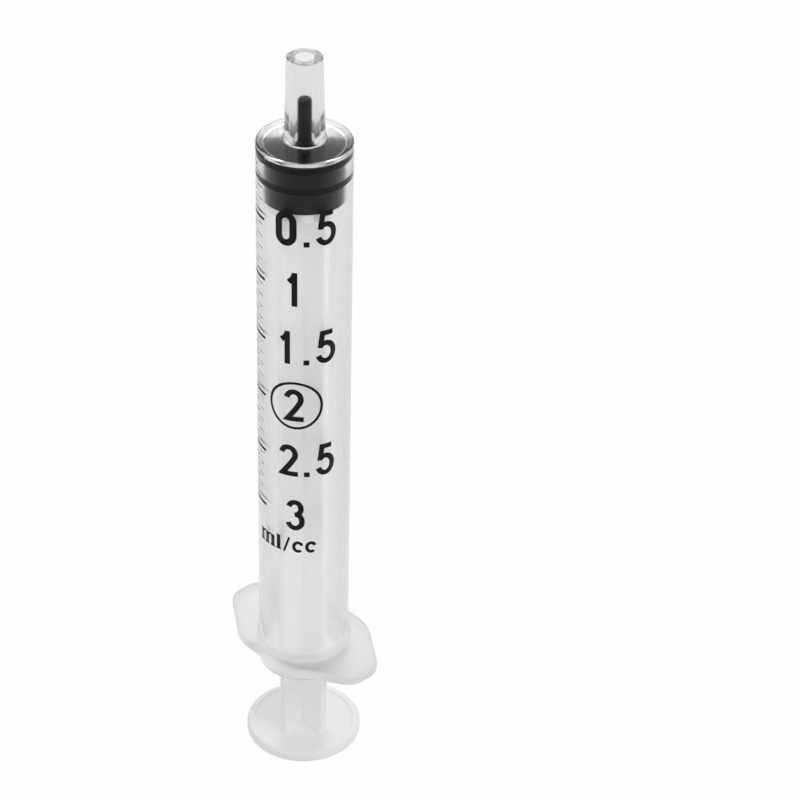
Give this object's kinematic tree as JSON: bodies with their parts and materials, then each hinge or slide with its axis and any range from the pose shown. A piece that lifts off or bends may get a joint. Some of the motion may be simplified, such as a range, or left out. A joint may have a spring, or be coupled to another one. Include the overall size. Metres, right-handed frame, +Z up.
{
  "type": "luer slip syringe",
  "caption": "Slim clear syringe with a tapered slip tip, black rubber stopper, crossed-rib plunger rod with round thumb rest, and a two-wing finger flange.",
  "frame": {"origin": "centre of the thumb rest's underside, on the surface the syringe stands on", "axes": "+Z up the axis to the luer tip, +X along the finger flange, graduations face -Y"},
  "size_m": [0.0222, 0.0138, 0.0931],
  "materials": {
    "rod_polypropylene": "moulded natural polypropylene, milky translucent",
    "stopper_rubber": "moulded black rubber, lightly oiled",
    "barrel_polypropylene": "moulded clear polypropylene, slightly hazy"
  },
  "bodies": {
    "plunger": {"plunger_rod": "rod_polypropylene"},
    "seal": {"stopper": "stopper_rubber"},
    "barrel": {"barrel": "barrel_polypropylene"}
  },
  "joints": [
    {"name": "rod_turn", "type": "hinge", "parent": "plunger", "child": "seal", "pos_m": [0, 0, 0.0762], "axis": [0, 0, 1], "continuous": true},
    {"name": "barrel_slide", "type": "slide", "parent": "seal", "child": "barrel", "axis": [0, 0, 1], "range_m": [0, 0.06]}
  ]
}
